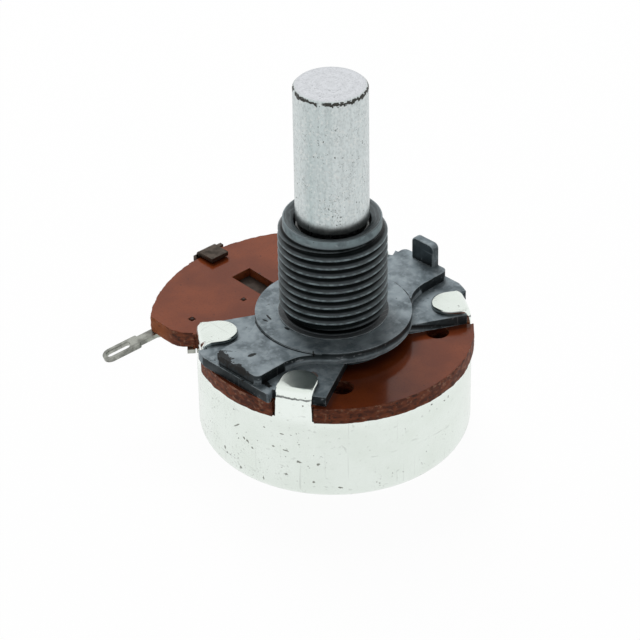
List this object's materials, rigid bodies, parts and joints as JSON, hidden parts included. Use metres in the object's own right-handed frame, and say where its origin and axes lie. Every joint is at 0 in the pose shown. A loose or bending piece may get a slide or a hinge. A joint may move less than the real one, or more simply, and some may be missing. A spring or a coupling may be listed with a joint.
{
  "type": "rotary potentiometer",
  "caption": "Panel potentiometer with a threaded zinc bushing, a round steel shaft, a drawn steel can and three solder terminals on a phenolic wafer.",
  "frame": {"origin": "on the shaft's axis, at the mounting face of the flange", "axes": "+Z out along the shaft, -Y towards the terminals, -X towards the locating lug"},
  "size_m": [0.0294, 0.032, 0.034],
  "materials": {
    "tinned_steel": "bright tin plate with fine scratches and dark specks",
    "zinc": "mottled blue-grey cast zinc, lighter at its edges",
    "shaft_steel": "turned and plated, with faint streaks",
    "spring_steel": "dull oiled spring steel",
    "phenolic": "red-brown paper board with rough fibrous edges",
    "carbon": "matt black carbon",
    "silver": "dull silver plate",
    "terminal_tin": "dull tinned brass, tarnished",
    "moulding": "dark brown moulded phenolic",
    "bronze": "phosphor bronze sheet"
  },
  "bodies": {
    "housing": {"can": "tinned_steel", "bushing_plate": "zinc", "wafer": "phenolic", "resistive_track": "carbon", "track_end_left": "silver", "track_end_right": "silver", "collector_ring": "silver", "terminal_centre": "terminal_tin", "terminal_left": "terminal_tin", "terminal_right": "terminal_tin"},
    "shaft_body": {"shaft": "shaft_steel", "retaining_ring": "spring_steel", "thrust_washer": "silver", "bowed_washer": "spring_steel", "rotor": "moulding", "wiper_spring": "bronze", "track_contact": "carbon", "collector_contact": "carbon", "wiper_rivets": "bronze"}
  },
  "joints": [
    {"name": "shaft_turn", "type": "hinge", "parent": "housing", "child": "shaft_body", "pos_m": [0, 0, 0], "axis": [0, 0, 1], "range_deg": [-150, 150]}
  ]
}
